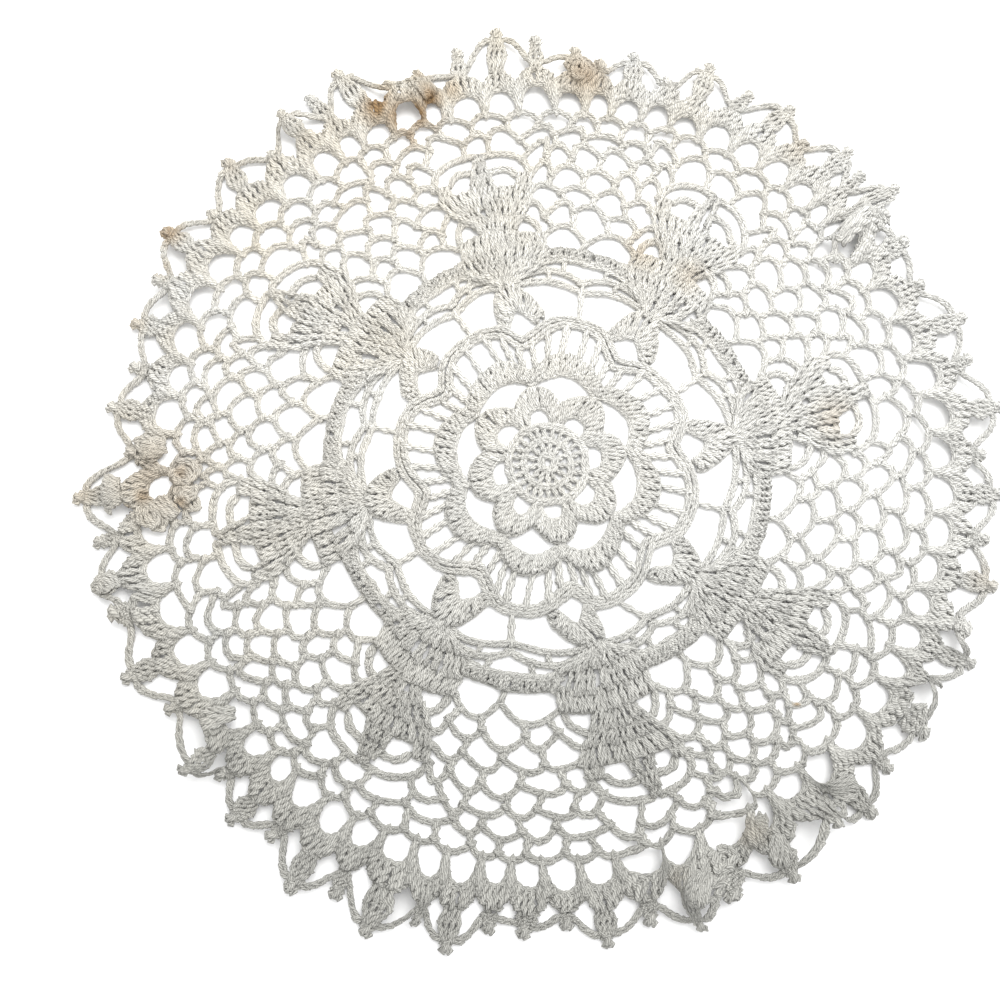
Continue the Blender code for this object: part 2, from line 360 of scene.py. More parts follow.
def posts(work, inner, outer, count, up=0.0, width=1.0, ragged=0.1, uneven=0.3):
    """Upright stitches side by side from one path to the other, their ends overlapping."""
    shares = [(k + 0.5 + chance.uniform(-uneven, uneven)) / count for k in range(count)]
    feet = along(rounded(inner), shares)
    aside = [share + chance.uniform(-HEAD_ASIDE, HEAD_ASIDE) / count for share in shares]
    heads = along(rounded(outer), aside)
    for foot, head in zip(feet, heads):
        if ragged >= LOOSE and chance.random() < MISSED:
            continue
        longer = (head - foot) * ragged
        foot = foot - longer * chance.uniform(*FOOT_PAST)
        head = head + longer * chance.uniform(*HEAD_PAST)
        kind = "slack" if chance.random() < SLACK else "post"
        above = up + chance.uniform(0, ABOVE)
        if ragged >= LOOSE:
            # a loose stitch shows as two turns of thread, one on the other's end
            bend = mixed(foot, head, chance.uniform(*BEND_AT))
            across = np.array((-1, 1)) * (head - foot)[::-1]
            bend += chance.uniform(-BEND_ASIDE, BEND_ASIDE) * across / POST
            lift = HEAD_LIFT / 2
            stitch(work, "turn", foot, mixed(bend, head, BEND_OVERLAP), width, above, lift)
            stitch(work, "turn", mixed(bend, foot, BEND_OVERLAP), head, width, above + lift, lift)
        elif chance.random() < 0.5:
            stitch(work, kind, foot, head, width, above, HEAD_LIFT)
        else:
            # half are drawn from the head down, so that not all look alike
            stitch(work, kind, head, foot, width, above + HEAD_LIFT, -HEAD_LIFT)


WANDER_SEED = 5
WANDER_WAVES = 14
WANDER = 0.032  # how far one wave moves a fine thread aside
WANDER_GAIN = 1.7  # times as far, because this one is coarse
WANDER_LENGTHS = (1.3, 4.5)  # shortest and longest wave
WANDER_TILT = 0.5  # share of a wave that may run up or down
WANDER_SHIFTS = (20, 60)  # how far a wave is shifted, times the stitch's tone
LOWEST = 0.03  # how near the table the thread comes


def wandered(points, phase):
    """The threads drawn aside a little, each by its own waves, so that none is smooth."""
    draw = random.Random(WANDER_SEED)
    moved = points.copy()
    for _ in range(WANDER_WAVES):
        turn = draw.uniform(0, 2 * math.pi)
        rate = 2 * math.pi / draw.uniform(*WANDER_LENGTHS)
        tilt = rate * draw.uniform(-WANDER_TILT, WANDER_TILT)
        way = (rate * math.cos(turn), rate * math.sin(turn), tilt)
        aside = [draw.uniform(-WANDER, WANDER) * WANDER_GAIN for _ in range(3)]
        moved += np.sin(points @ way + phase * draw.uniform(*WANDER_SHIFTS))[:, None] * aside
    return moved


def worked(name, work):
    """Joins every noted stitch of a piece into one mesh that lies on the table."""
    points, faces, maps, tones = [], [], [], []
    first = 0
    for kind, (corners, sides, thread_map) in STITCHES.items():
        rows = np.array([row[1:] for row in work if row[0] == kind], float)
        if not len(rows):
            continue
        start, end = rows[:, 0:2], rows[:, 2:4]
        width, up, roll, tone, lift = rows[:, 4:9].T
        way = end - start
        aside = np.stack([-way[:, 1], way[:, 0]], axis=1)
        aside /= np.hypot(*way.T)[:, None]
        middle = corners[:, 2].mean()
        rise = corners[:, 2] - middle
        y = corners[:, 1] * np.cos(roll)[:, None] - rise * np.sin(roll)[:, None]
        z = corners[:, 1] * np.sin(roll)[:, None] + rise * np.cos(roll)[:, None]
        flat = (
            start[:, None]
            + corners[None, :, :1] * way[:, None]
            + (y * width[:, None])[..., None] * aside[:, None]
        )
        height = z + middle + up[:, None] + lift[:, None] * corners[None, :, 0]
        points.append(np.dstack([flat, height]).reshape(-1, 3))
        offsets = first + np.arange(len(rows))[:, None, None] * len(corners)
        faces.append((sides[None] + offsets).reshape(-1, 4))
        maps.append(np.tile(thread_map, (len(rows), 1)))
        tones.append(np.repeat(tone, len(corners)))
        first += len(rows) * len(corners)
    tones = np.concatenate(tones)
    points = wandered(np.vstack(points), tones)
    points[:, 2] = np.maximum(points[:, 2], LOWEST)
    mesh = bpy.data.meshes.new(name)
    mesh.from_pydata(draped(points) * MM, [], np.vstack(faces).tolist())
    mesh.uv_layers.new(name="thread").data.foreach_set("uv", np.vstack(maps).ravel())
    mesh.attributes.new("tone", "FLOAT", "POINT").data.foreach_set("value", tones)
    mesh.shade_smooth()
    mesh.materials.append(cotton)
    piece = bpy.data.objects.new(name, mesh)
    bpy.context.scene.collection.objects.link(piece)
    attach(piece, "root")
    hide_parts("doily")
    return piece


# The cotton: white, with painted shade that greys it towards the lower edge, greyer at the border
# than in the middle, creamier where it has aged, with the plies of the thread and its loose fibres
# in relief and painted shade in the grooves between the plies, old marks in places, and a few dark
# marks of painted shadow in a crease.
# A pair is the gain and the offset of a value, or the two ends of a ramp, here in metres.

WHITE = (0.677, 0.671, 0.638, 1)
# painted shade: the white that the thread greys to towards the lower edge, where less light falls
PAINTED_SHADE_WHITE = (0.430, 0.426, 0.394, 1)
CREAM = (0.620, 0.570, 0.470, 1)
PALE_MARK = (0.54, 0.45, 0.31, 1)
DEEP_MARK = (0.295, 0.185, 0.085, 1)
FIBRES, DRIFT = 1500.0, 45.0  # scale of the fibres, and of the patches of age
NOISE_DETAIL = 3.0
PLIES = 5.0  # how many show round a thread
GROOVE_SHADE_POWER = 1.5  # how narrow the painted shade in the grooves between the plies is
AGE_SLANT = -0.8  # how much age follows X beside Y
AGED = (-0.06, 0.20)
PATCHY = (2.4, -0.7)
PAINTED_SHADE_SLANT = 0.15  # how much the painted shade of the lower edge follows X beside Y
PAINTED_SHADE_RAMP = (-0.10, 0.01)
BLOTCHY = (1.3, 0.3)
LIGHTER_MIDDLE = (0.105, 0.13)  # radii between which the middle's lighter tone fades
LIGHTER_MIDDLE_TONES = (1.08, 1.0)
STITCH_TONES = (0.16, 0.90)
FIBRE_TONES = (0.70, 0.65)
GROOVE_SHADE_TONES = (-0.40, 1.0)
ROUGHNESS = (0.25, 0.72)
FIBRE_RELIEF = 1.6  # height of the fibres beside the plies
RELIEF, RELIEF_DEPTH = 0.9, 0.00035
MARK_EDGE = 1.2  # where a mark ends, in reaches
MARK_HEIGHT = 3.0  # of its middle over the table
STAINS_AND_SHADOWS = [
    # x, y, reach, depth
    (-57.5, 123.5, 8.5, 1.10),
    (-51.0, 120.0, 8.5, 1.15),
    (-45.0, 121.0, 8.5, 1.15),
    (-41.0, 127.0, 7.0, 1.10),
    (-33.0, 131.0, 6.0, 0.55),
    (-43.5, 134.5, 5.5, 0.55),
    (-39.0, 119.0, 6.0, 0.75),
    (-47.0, 113.0, 6.5, 0.85),
    (-126.0, 75.5, 6.0, 1.1),
    (-127.0, 63.0, 5.0, 0.55),
    (-107.0, 101.0, 5.0, 0.35),
    (-136.0, 45.0, 5.0, 0.45),
    (13.5, 137.0, 11.0, 0.75),
    (89.0, 111.5, 8.0, 0.30),
    (-148.0, -11.0, 6.0, 0.35),
    # darker marks on the curled heap at the left edge
    (-124.0, -6.0, 17.0, 0.60),
    (-129.0, -12.0, 5.0, 0.85),
    (-118.5, -4.0, 5.0, 0.85),
    (-118.0, -14.0, 4.0, 0.80),
    # painted shadow: the dark slit under the arch of the scallop that stands up at the left edge
    (-135.5, -6.0, 2.4, 0.90),
    (-135.2, -11.0, 2.4, 0.95),
    (-134.8, -16.0, 2.4, 0.85),
    (75.0, -78.0, 1.7, 1.40),
    # faint browner marks at the crumpled lower edge
    (58.0, -115.0, 6.0, 0.35),
    (37.0, -130.0, 5.0, 0.35),
    (140.0, -39.0, 7.0, 0.30),
    (94.0, 14.0, 9.0, 0.40),
    (31.0, 73.0, 8.0, 0.40),
    (48.0, 64.0, 7.0, 0.40),
    (-62.0, 100.0, 24.0, 0.22),
    (-30.0, 108.0, 16.0, 0.25),
]


def node(tree, kind, inputs=(), **settings):
    """A new node with its settings, and its inputs given values or joined to sockets."""
    made = tree.nodes.new(kind)
    for name, value in settings.items():
        setattr(made, name, value)
    for name, value in dict(inputs).items():
        if isinstance(value, bpy.types.NodeSocket):
            tree.links.new(value, made.inputs[name])
        else:
            made.inputs[name].default_value = value
    return made


def maths(tree, operation, *values):
    return node(tree, "ShaderNodeMath", enumerate(values), operation=operation).outputs[0]


def scaled(tree, value, gain, offset):
    return maths(tree, "MULTIPLY_ADD", value, gain, offset)


def ramp(tree, value, low, high, at_low=0.0, at_high=1.0):
    """A value read between two ends, and held there."""
    ends = {"From Min": low, "From Max": high, "To Min": at_low, "To Max": at_high}
    return node(tree, "ShaderNodeMapRange", {"Value": value, **ends}).outputs["Result"]


def clamped(tree, value):
    return node(tree, "ShaderNodeClamp", {0: value}).outputs[0]


def blended(tree, share, low, high, how="MIX"):
    """Two colours mixed: on a Mix node the colours are inputs 6 and 7, and output 2."""
    inputs = {0: share, 6: low, 7: high}
    return node(tree, "ShaderNodeMix", inputs, data_type="RGBA", blend_type=how).outputs[2]


def new_group(name, inputs, outputs):
    """A node group, with what it is given and where its results are put."""
    group = bpy.data.node_groups.new(name, "ShaderNodeTree")
    for title, kind in inputs:
        group.interface.new_socket(title, in_out="INPUT", socket_type=kind)
    for title, kind in outputs:
        group.interface.new_socket(title, in_out="OUTPUT", socket_type=kind)
    given = group.nodes.new("NodeGroupInput").outputs
    put = group.nodes.new("NodeGroupOutput").inputs
    return group, given, put


# the plies of the thread: their ridges give the relief, and painted shade darkens the grooves
# between them
ply_twist, given, put = new_group(
    "ply_twist",
    [("Map", "NodeSocketVector"), ("Plies", "NodeSocketFloat")],
    [("Height", "NodeSocketFloat"), ("Groove_shade", "NodeSocketFloat")],
)
apart = node(ply_twist, "ShaderNodeSeparateXYZ", {"Vector": given["Map"]})
turns = scaled(ply_twist, apart.outputs["Y"], given["Plies"], apart.outputs["X"])
wave = maths(ply_twist, "SINE", maths(ply_twist, "MULTIPLY", turns, math.pi))
ridge = maths(ply_twist, "ABSOLUTE", wave)
groove_shade = maths(ply_twist, "POWER", maths(ply_twist, "SUBTRACT", 1.0, ridge), GROOVE_SHADE_POWER)
ply_twist.links.new(ridge, put["Height"])
ply_twist.links.new(groove_shade, put["Groove_shade"])

stain_and_shadow_mark, given, put = new_group(
    "stain_and_shadow_mark",
    [
        ("Place", "NodeSocketVector"),
        ("Middle", "NodeSocketVector"),
        ("Reach", "NodeSocketFloat"),
        ("Depth", "NodeSocketFloat"),
    ],
    [("Mask", "NodeSocketFloat")],
)
between = {0: given["Place"], 1: given["Middle"]}
away = node(stain_and_shadow_mark, "ShaderNodeVectorMath", between, operation="DISTANCE").outputs["Value"]
share = maths(stain_and_shadow_mark, "DIVIDE", away, given["Reach"])
nearness = clamped(stain_and_shadow_mark, maths(stain_and_shadow_mark, "SUBTRACT", MARK_EDGE, share))
stain_and_shadow_mark.links.new(maths(stain_and_shadow_mark, "MULTIPLY", nearness, given["Depth"]), put["Mask"])

cotton = bpy.data.materials.new("cotton_thread")
cotton.use_nodes = True
tree = cotton.node_tree
shader = tree.nodes["Principled BSDF"]
shader.inputs["Sheen Weight"].default_value = 0.10
shader.inputs["Sheen Roughness"].default_value = 0.6
shader.inputs["Specular IOR Level"].default_value = 0.25
place = node(tree, "ShaderNodeTexCoord").outputs["Object"]
thread_map = node(tree, "ShaderNodeUVMap", uv_map="thread").outputs["UV"]
tone = node(tree, "ShaderNodeAttribute", attribute_name="tone").outputs["Fac"]
plies = node(tree, "ShaderNodeGroup", node_tree=ply_twist)
tree.links.new(thread_map, plies.inputs["Map"])
plies.inputs["Plies"].default_value = PLIES
spread = {"Vector": place, "Detail": NOISE_DETAIL}
fibres = node(tree, "ShaderNodeTexNoise", {**spread, "Scale": FIBRES}).outputs["Fac"]
drift = node(tree, "ShaderNodeTexNoise", {**spread, "Scale": DRIFT}).outputs["Fac"]

where = node(tree, "ShaderNodeSeparateXYZ", {"Vector": place})
slanted = scaled(tree, where.outputs["X"], AGE_SLANT, where.outputs["Y"])
age = maths(tree, "MULTIPLY", ramp(tree, slanted, *AGED), scaled(tree, drift, *PATCHY))
# painted shade: the white greys towards the lower edge, as the light falls off there
slanted = scaled(tree, where.outputs["X"], PAINTED_SHADE_SLANT, where.outputs["Y"])
white = blended(tree, ramp(tree, slanted, *PAINTED_SHADE_RAMP), PAINTED_SHADE_WHITE, WHITE)
clean = blended(tree, clamped(tree, age), white, CREAM)

mark = 0.0
# the stains, and the dark marks that are painted shadow in a crease
for x, y, reach, depth in STAINS_AND_SHADOWS:
    spot = node(tree, "ShaderNodeGroup", node_tree=stain_and_shadow_mark)
    tree.links.new(place, spot.inputs["Place"])
    spot.inputs["Middle"].default_value = (x * MM, y * MM, MARK_HEIGHT * MM)
    spot.inputs["Reach"].default_value = reach * MM
    spot.inputs["Depth"].default_value = depth
    mark = maths(tree, "MAXIMUM", mark, spot.outputs["Mask"])
mark = clamped(tree, maths(tree, "MULTIPLY", mark, scaled(tree, drift, *BLOTCHY)))
marked = blended(tree, mark, clean, blended(tree, mark, PALE_MARK, DEEP_MARK))

radius = node(tree, "ShaderNodeVectorMath", {0: place}, operation="LENGTH").outputs["Value"]
lighter_middle = ramp(tree, radius, *LIGHTER_MIDDLE, *LIGHTER_MIDDLE_TONES)
# the thread's tone: random per stitch, lighter in the middle, speckled by fibres, with painted
# shade in the grooves
tone_and_shade = maths(tree, "MULTIPLY", lighter_middle, scaled(tree, tone, *STITCH_TONES))
tone_and_shade = maths(tree, "MULTIPLY", tone_and_shade, scaled(tree, fibres, *FIBRE_TONES))
# painted shade, darker in the grooves between the plies
tone_and_shade = maths(tree, "MULTIPLY", tone_and_shade, scaled(tree, plies.outputs["Groove_shade"], *GROOVE_SHADE_TONES))
grey = {"Red": tone_and_shade, "Green": tone_and_shade, "Blue": tone_and_shade}
tone_and_shade = node(tree, "ShaderNodeCombineColor", grey).outputs[0]
tree.links.new(blended(tree, 1.0, marked, tone_and_shade, "MULTIPLY"), shader.inputs["Base Color"])
tree.links.new(scaled(tree, fibres, *ROUGHNESS), shader.inputs["Roughness"])
relief = scaled(tree, fibres, FIBRE_RELIEF, plies.outputs["Height"])
bump = {"Height": relief, "Strength": RELIEF, "Distance": RELIEF_DEPTH}
bump = node(tree, "ShaderNodeBump", bump).outputs["Normal"]
tree.links.new(bump, shader.inputs["Normal"])

# The rosette's own rounds. A path is charted from an axis outwards, as offsets and radii.
CIRCLE_STEP = 15
CIRCLES = [(2.6, 1.0), (7.8, 0.9), (13.0, 1.1)]  # radius, width of the chain
CLOSE_ROUNDS = [(2.8, 8.0, 13), (7.6, 13.2, 24)]  # radius of the feet, of the heads, posts
CLOSE_LEAN = 3  # degrees from a foot to its head
SHELL_FOOT = [(0, 19.8), (8, 19.4), (14.5, 17.8), (19.5, 13.8)]
SHELL_HEAD = [(0, 26.0), (6, 25.6), (12, 24.2), (18, 21.8), (22.5, 19.6)]
ARCH_FOOT = [(0, 31.6), (5, 31.4), (13, 30.0), (19, 28.6), (22.3, 27.8)]
ARCH_HEAD = [(0, 37.6), (7, 36.8), (15, 34.0), (22.3, 31.0)]
LADDER = [
    # foot and head of a post of the ladder
    [(3.4, 32.2), (3.8, 40.2)],
    [(10.2, 35.2), (10.8, 45.0)],
    [(18.0, 37.4), (18.4, 47.4)],
]
LADDER_STRAY = 0.6  # degrees
RING_IN = [(0, 40.2), (4, 41.4), (8, 44.0), (12, 46.2), (17, 47.4), (22.5, 47.6)]
RING_OUT = [(0, 42.8), (4, 44.4), (8, 46.8), (12, 48.6), (17, 49.4), (22.5, 49.6)]
DIAMOND_FOOT = [(0, 53.8), (3.4, 51.4), (6.8, 48.0)]
DIAMOND_HEAD = [(0, 62.4), (3.0, 61.2), (6.0, 57.2), (8.4, 52.4), (9.4, 49.4)]
BAR = [(HALF, 49.6), (HALF, 61.4)]
rosette = []


def close_band(repeat, foot, head, count, axis=0.0):
    """A chain, close posts on it, and a slimmer chain over their heads."""
    inner = charted(repeat, mirrored(foot), axis)
    outer = charted(repeat, mirrored(head), axis)
    chain(rosette, inner)
    posts(rosette, inner, outer, count, width=1.05)
    chain(rosette, outer, up=0.1, width=0.85)


for radius, width in CIRCLES:
    circle = [placed(angle, radius) for angle in range(0, 361, CIRCLE_STEP)]
    chain(rosette, circle, up=0.2, width=width, passes=0)
for low, high, count in CLOSE_ROUNDS:
    for k in range(count):
        angle = 360 * (k + 0.5) / count
        stitch(rosette, "post", placed(angle, low), placed(angle + CLOSE_LEAN, high))
for n in range(REPEATS):
    # a shell with its crown on the leaf's axis, and an arch from its crown to the next one's
    close_band(n, SHELL_FOOT, SHELL_HEAD, count=15)
    close_band(n, ARCH_FOOT, ARCH_HEAD, count=20, axis=HALF)
    # the ladder of single posts, and the ring of close stitches that dips over each shell
    for post in LADDER:
        for side in (-1, 1):
            ends = [(side * o + chance.uniform(-LADDER_STRAY, LADDER_STRAY), r) for o, r in post]
            stitch(rosette, "post", *charted(n, ends), width=1.3)
    chain(rosette, charted(n, mirrored(RING_IN)))
    chain(rosette, charted(n, mirrored(RING_OUT)), up=0.15, width=0.9)
    # the shell over the diamond, and the bar at the middle of the net
    close_band(n, DIAMOND_FOOT, DIAMOND_HEAD, count=14)
    stitch(rosette, "post", *charted(n, BAR), width=1.2)
rosette_piece = worked("doily_rosette", rosette)


# The eight leaves: two fans of trebles one above the other, the second on the pinched waist
# of the first, ending in a narrow stem. Worked row on row, with a close shell between two
# leaves and three open rounds of chain that carry it.

LEAF_ROWS = [
    # foot: half angle, radius at the axis, at the side; head: the same; posts
    (4.6, 62.8, 64.2, 10.6, 69.4, 68.0, 17),
    (10.2, 69.4, 68.0, 12.6, 76.0, 74.6, 21),
    (12.4, 76.0, 74.6, 11.6, 82.2, 80.6, 22),
    (3.6, 81.2, 81.2, 6.2, 87.4, 86.6, 10),
    (6.0, 87.0, 86.3, 8.8, 93.0, 91.8, 15),
    (8.6, 92.6, 91.5, 10.4, 98.4, 97.4, 19),
    (3.3, 97.4, 97.4, 2.4, 102.4, 102.4, 6),
    (2.4, 102.0, 102.0, 1.4, 107.2, 107.2, 4),
    (1.3, 106.6, 106.6, 0.9, 110.0, 110.0, 3),
]
ROW_BOW = 0.3  # how much of a row's bow is gone halfway to its side
RAGGED, NEAT = 0.22, 0.10
FAN_ROWS = 3  # rows of the lower fan
EDGE_ROWS = (2, 5)  # rows whose heads are an open edge, neat and finished with a chain
OPEN_ROUNDS = [
    # three rounds of chain between two leaves, offsets from a leaf's axis and radii
    [(2.0, 62.4), (8.0, 63.2), (14.0, 62.8), (19.0, 61.4), (22.5, 60.4)],
    [(5.0, 65.2), (10.0, 66.8), (14.5, 67.0), (19.0, 65.6), (22.5, 63.4)],
    [(8.6, 68.4), (13.0, 70.8), (18.0, 71.4), (22.5, 70.8)],
]
OPEN_BARS = [
    # short bars that part the slots between those rounds
    [(13.4, 62.8), (13.0, 67.0)],
    [(17.2, 66.2), (16.6, 71.2)],
    [(11.6, 67.0), (11.2, 70.2)],
]
WING_FOOT, WING_HEAD = [(6.0, 96.8), (10.0, 96.4)], [(6.8, 101.8), (9.5, 101.6)]
TIP_CHAINS = [
    # over the hole beside the tip, over the next one, and round the hole beside the waist
    [(6.6, 101.8), (5.6, 104.4), (3.8, 105.4), (1.9, 105.0)],
    [(9.5, 101.4), (9.1, 105.4), (7.3, 108.8), (4.2, 110.6), (1.1, 110.6)],
    [(10.8, 81.6), (10.2, 85.4), (8.2, 88.0), (6.2, 88.4)],
]
BETWEEN_FOOT = [(0, 71.8), (5, 72.0), (11.6, 71.4)]
BETWEEN_HEAD = [(0, 75.2), (5, 75.2), (11.2, 74.4)]
fans, tips = [], []


def leaf_line(repeat, half_angle, middle, side):
    """One edge of a row of a leaf, from side to side over its axis."""
    line = [(0, middle), (half_angle / 2, mixed(middle, side, ROW_BOW)), (half_angle, side)]
    return charted(repeat, mirrored(line))


for n in range(REPEATS):
    for row, (*foot, head, head_middle, head_side, count) in enumerate(LEAF_ROWS):
        work = fans if row < FAN_ROWS else tips
        inner = leaf_line(n, *foot)
        outer = leaf_line(n, head, head_middle, head_side)
        if row in EDGE_ROWS:
            chain(work, outer, width=0.9)
        posts(work, inner, outer, count, up=0.1, ragged=NEAT if row in EDGE_ROWS else RAGGED)
    for side in (-1, 1):
        wing = charted(n, WING_HEAD, side=side)
        posts(tips, charted(n, WING_FOOT, side=side), wing, count=4)
        chain(tips, wing, width=0.9)
        for path in TIP_CHAINS:
            chain(tips, charted(n, path, side=side))
        for path in OPEN_ROUNDS:
            chain(fans, charted(n, path, side=side), width=0.95)
        for path in OPEN_BARS:
            stitch(fans, "post", *charted(n, path, side=side), width=1.1)
    shell_in = charted(n, mirrored(BETWEEN_FOOT), HALF)
    shell_out = charted(n, mirrored(BETWEEN_HEAD), HALF)
    posts(fans, shell_in, shell_out, count=22, up=0.1, ragged=RAGGED, uneven=0.4)
    chain(fans, shell_in, width=0.7)
    chain(fans, shell_out, width=0.7)
fans_piece = worked("doily_leaf_fans", fans)
tips_piece = worked("doily_leaf_tips", tips)


# The net: rounds of chain, each carried by single trebles that stand on the round before,
# so that its holes are six-sided. Eight patches of it lie between the leaves, and its last
# rounds run past their tips.

NET_ROUNDS = [
    # radius, rise and fall, trebles' offsets from the net's middle, end on the leaf, its radius
    (82.8, 2.8, (0.0,), 10.4, 80.2),
    (90.4, 1.7, (3.7, 9.9), 15.4, 90.8),
    (97.6, 1.6, (0.0, 6.4), 13.2, 96.2),
    (104.6, 1.6, (3.1, 8.9), 13.0, 102.4),
    (111.4, 1.5, (0.0, 5.6, 10.2), 13.4, 108.4),
    (117.2, 1.5, (2.8, 7.9, 14.1, 20.0), None, None),
]
INNER_ROUNDS = 4  # rounds of the inner piece
JOINT_ASIDE, JOINT_OUT = 0.9, 1.0  # how far a joint strays, in degrees and in radius
LAST_ROUND, LAST_RISE, LAST_STEP = 122.8, 1.3, 4.2  # radius, rise and fall, depth of the round
LAST_ASIDE, LAST_OUT = 0.5, 0.6  # how far its joints stray
SCALLOPS = 68  # of the border: the last round has a joint under each
ROW_STEP = 4  # scallops from one row of BORDER to the next
HANGS_WITHIN = 6.0  # how far off a stitch may be for a new one to be hung on it
SPAN = [(0.18, 0.58), (0.36, 0.98), (0.64, 0.98), (0.82, 0.58)]  # share of it, of its rise
SPAN_LEAN = 0.07  # how far its crown leans aside
PAST_FOOT, PAST_HEAD = 0.6, 0.5  # how far a treble runs into the rounds that it joins
CROSS_HALF, CROSS_BACK = 1.1, 0.2  # the short stitch across its head: half length, how far back
net_in, net_out = [], []


def border_at(scallop):
    """Angle and crown of the border at a scallop's number."""
    turns, place = divmod(scallop, SCALLOPS)
    row, share = divmod(place / ROW_STEP, 1)
    low, high = BORDER[int(row)], BORDER[(int(row) + 1) % len(BORDER)]
    wrap = 360 if int(row) + 1 == len(BORDER) else 0
    angle = mixed(low[0], high[0] + wrap, share) + 360 * turns
    return angle, mixed(low[1], high[1], share)


def hung(point):
    """The nearest stitch of the work so far, to hang a new one on."""
    away = np.array(laid) - point
    nearest = np.hypot(*away.T).argmin()
    if np.hypot(*away[nearest]) > HANGS_WITHIN:
        return np.array(point)
    return np.array(laid[nearest])


def net_span(work, start, high, end):
    """Chain from one treble's head over a hole to the next one's."""
    rise = high - mixed(start, end, 0.5)
    lean = chance.uniform(-SPAN_LEAN, SPAN_LEAN) * (end - start)
    points = [mixed(start, end, share) + up * rise for share, up in SPAN]
    points[1:3] = [point + lean for point in points[1:3]]
    chain(work, [start, *points, end], width=0.85)


def net_treble(work, foot, head):
    """A single treble from the round before up to this one."""
    foot = hung(foot)
    out = (head - foot) / max(np.hypot(*(head - foot)), 1.0)
    stitch(work, "post", foot - PAST_FOOT * out, head + PAST_HEAD * out, width=1.3)
    across = CROSS_HALF * np.array((-out[1], out[0]))
    back = CROSS_BACK * out
    stitch(work, "short", head - across - back, head + across - back, width=0.95, up=0.1)


def drifted(angle, radius):
    """A joint of the net, a little off its place."""
    aside = chance.uniform(-JOINT_ASIDE, JOINT_ASIDE)
    return placed(angle + aside, radius + chance.uniform(-JOINT_OUT, JOINT_OUT))


for number, (radius, rise, offsets, end, end_radius) in enumerate(NET_ROUNDS):
    work = net_in if number < INNER_ROUNDS else net_out
    below = NET_ROUNDS[number - 1]
    joints = sorted({-offset for offset in offsets} | set(offsets))
    patches = []
    for n in range(REPEATS):
        middle = REPEAT * n + HALF
        patch = [(middle + joint, drifted(middle + joint, radius - rise)) for joint in joints]
        for angle, head in patch:
            if number:
                net_treble(work, placed(angle, below[0] + below[1]), head)
            else:
                stitch(work, "short", hung(head), head, width=1.2)
        if end:
            before, after = (hung(placed(middle + side * end, end_radius)) for side in (-1, 1))
            patches.append([(middle - end, before), *patch, (middle + end, after)])
        elif patches:
            patches[0] += patch
        else:
            patches.append(patch)
    if not end:
        # this round has no ends on leaves: it closes on itself
        patches[0].append((patches[0][0][0] + 360, patches[0][0][1]))
    for patch in patches:
        for (left, start), (right, other) in zip(patch[:-1], patch[1:]):
            net_span(work, start, drifted((left + right) / 2, radius + rise), other)

# the last round has a joint under each scallop
share = float(soft_step((LAST_ROUND - NET_FROM) / (CROWN - NET_FROM)))
heads = []
for s in range(SCALLOPS):
    angle, crown = border_at(s)
    radius = LAST_ROUND - LAST_RISE + chance.uniform(-LAST_OUT, LAST_OUT)
    radius *= mixed(1.0, crown / CROWN, share)
    heads.append(strayed(angle + chance.uniform(-LAST_ASIDE, LAST_ASIDE), radius))
    net_treble(net_out, strayed(angle, radius - LAST_STEP), heads[-1])
for s in range(SCALLOPS):
    angle, crown = border_at(s + 0.5)
    high = strayed(angle, (LAST_ROUND + LAST_RISE) * mixed(1.0, crown / CROWN, share))
    net_span(net_out, heads[s], high, heads[(s + 1) % SCALLOPS])
net_in_piece = worked("doily_net_inner", net_in)
net_out_piece = worked("doily_net_outer", net_out)


# The border: sixty-eight scallops, each a fan of trebles worked into a chain loop of the last
# net round, close enough to stand a little on edge where they crowd.

# shares of a scallop from its crown, and radii
SCALLOP_FOOT = [(-0.50, 124.2), (-0.45, 129.2), (-0.27, 132.0), (0.00, 132.8)]
SCALLOP_FOOT += [(0.27, 132.0), (0.45, 129.2), (0.50, 124.2)]
SCALLOP_HEAD = [(-0.52, 129.8), (-0.50, 132.6), (-0.34, 136.0), (-0.15, 137.6)]
SCALLOP_HEAD += [(0.00, 138.0), (0.15, 137.6), (0.34, 136.0), (0.50, 132.6), (0.52, 129.8)]
SCALLOP_POSTS = 10
FOOT_FOLLOWS = 0.8  # how much of its crown's own reach a scallop's foot has
SCALLOP_STRAY = 0.8  # how far in or out its crown strays, and its foot
SLIM = (0.9, 1.04)  # width of the loop that it stands on, beside the charted one
scallops = []


def bordered(scallop, radius):
    """A point of the border at a scallop's number and a radius."""
    return strayed(border_at(scallop)[0], radius)


for s in range(SCALLOPS):
    crown = border_at(s)[1] + chance.uniform(-SCALLOP_STRAY, SCALLOP_STRAY)
    further = crown - CROWN
    slim = chance.uniform(*SLIM)
    foot_further = chance.uniform(-SCALLOP_STRAY, SCALLOP_STRAY)
    inner = [
        bordered(s + share * slim, radius + FOOT_FOLLOWS * further + foot_further)
        for share, radius in SCALLOP_FOOT
    ]
    outer = [bordered(s + share, radius + further) for share, radius in SCALLOP_HEAD]
    inner[0], inner[-1] = hung(inner[0]), hung(inner[-1])
    chain(scallops, inner, width=0.9, pitch=2.7)
    posts(scallops, inner, outer, SCALLOP_POSTS, width=1.25, uneven=0.12)
    chain(scallops, outer, up=0.1, width=0.8, pitch=3.1)
scallops_piece = worked("doily_scallops", scallops)


# The edging on the scallops: a cluster of long trebles with a picot at its tip on every other
# scallop, a small knob on each between, and a chain that runs down from one to the other.

